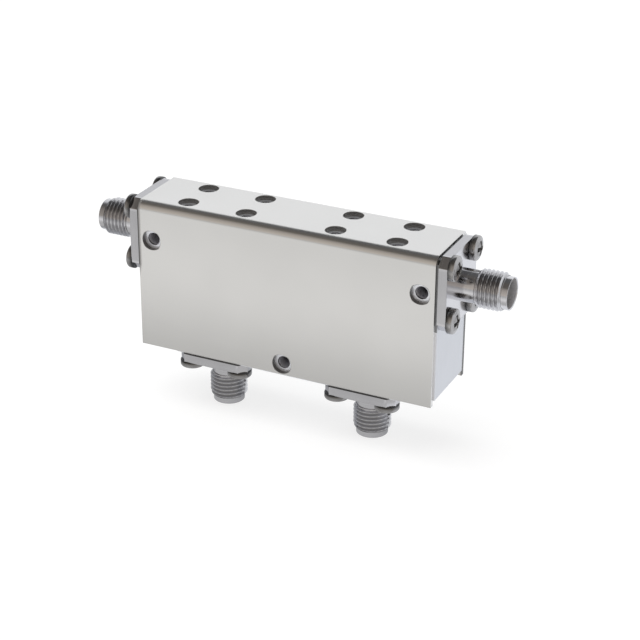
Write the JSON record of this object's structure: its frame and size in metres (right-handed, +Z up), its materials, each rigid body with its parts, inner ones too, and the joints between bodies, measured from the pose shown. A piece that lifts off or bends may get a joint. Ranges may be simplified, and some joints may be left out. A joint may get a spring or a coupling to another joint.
{
  "type": "cryogenic circulator",
  "caption": "Coaxial cryogenic circulator block under a folded magnetic shield, with flange-mounted threaded jacks at both ends and underneath.",
  "frame": {"origin": "under the middle of the block, in the plane of the lower jacks' ends", "axes": "+X along the block to the right jack, +Y from the front with three holes to the plain back, +Z up"},
  "size_m": [0.0736, 0.0134, 0.0366],
  "materials": {
    "block_metal": "satin",
    "shield_metal": "satin",
    "jack_metal": "polished",
    "screw_metal": "polished",
    "insulator": "matte",
    "contact_metal": "polished",
    "ferrite": "matte",
    "magnet_metal": "polished",
    "keeper_metal": "satin"
  },
  "bodies": {
    "root": {"centre_conductor": "contact_metal", "centre_contact_left": "contact_metal", "centre_contact_lower_left": "contact_metal", "centre_contact_lower_right": "contact_metal", "centre_contact_right": "contact_metal", "channel_cover_left": "block_metal", "channel_cover_link": "block_metal", "channel_cover_lower_left": "block_metal", "channel_cover_lower_right": "block_metal", "channel_cover_right": "block_metal", "connector_shell_left": "jack_metal", "connector_shell_lower_left": "jack_metal", "connector_shell_lower_right": "jack_metal", "connector_shell_right": "jack_metal", "dielectric_left": "insulator", "dielectric_lower_left": "insulator", "dielectric_lower_right": "insulator", "dielectric_right": "insulator", "ferrite_left_back": "ferrite", "ferrite_left_front": "ferrite", "ferrite_right_back": "ferrite", "ferrite_right_front": "ferrite", "flange_screws_left": "screw_metal", "flange_screws_lower_left": "screw_metal", "flange_screws_lower_right": "screw_metal", "flange_screws_right": "screw_metal", "ground_disc_left": "block_metal", "ground_disc_right": "block_metal", "housing": "block_metal", "keeper_left_back": "keeper_metal", "keeper_left_front": "keeper_metal", "keeper_right_back": "keeper_metal", "keeper_right_front": "keeper_metal", "magnet_left_back": "magnet_metal", "magnet_left_front": "magnet_metal", "magnet_right_back": "magnet_metal", "magnet_right_front": "magnet_metal", "shield_cover": "shield_metal", "spacer_ring_left_back": "insulator", "spacer_ring_left_front": "insulator", "spacer_ring_right_back": "insulator", "spacer_ring_right_front": "insulator"}
  },
  "joints": []
}
